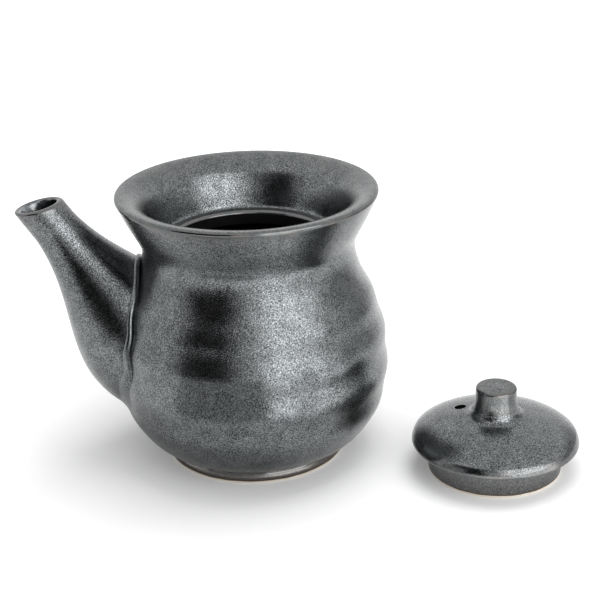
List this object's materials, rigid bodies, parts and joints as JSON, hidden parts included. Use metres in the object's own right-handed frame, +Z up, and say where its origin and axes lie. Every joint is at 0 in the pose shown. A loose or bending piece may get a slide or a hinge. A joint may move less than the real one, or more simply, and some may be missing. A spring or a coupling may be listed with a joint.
{
  "type": "lidded sake pouring pot",
  "caption": "Dark glazed stoneware pouring pot with a round belly, flared mouth, tapering side spout and a knobbed lid that lifts off.",
  "frame": {"origin": "centre of the foot ring, on the surface that the pot stands on", "axes": "+Z up along the pot's turning axis, -X towards the spout, the lid lies beside the pot towards +X"},
  "size_m": [0.1963, 0.1022, 0.0989],
  "materials": {
    "iron_glaze": "satin speckled gunmetal glaze",
    "seam_glaze": "satin gunmetal glaze over a raised bead",
    "skirt_glaze": "thin grey glaze with a bare clay bottom edge",
    "foot_clay": "thin brown glaze with a bare clay bottom edge"
  },
  "bodies": {
    "pot": {"body": "iron_glaze", "foot_ring": "foot_clay", "spout": "iron_glaze", "spout_seam": "seam_glaze"},
    "lid": {"lid_cap": "iron_glaze", "lid_skirt": "skirt_glaze", "lid_knob": "iron_glaze"}
  },
  "joints": [
    {"name": "lid_lift", "type": "slide", "parent": "pot", "child": "lid", "axis": [0, 0, 1], "range_m": [0, 0.12]}
  ]
}
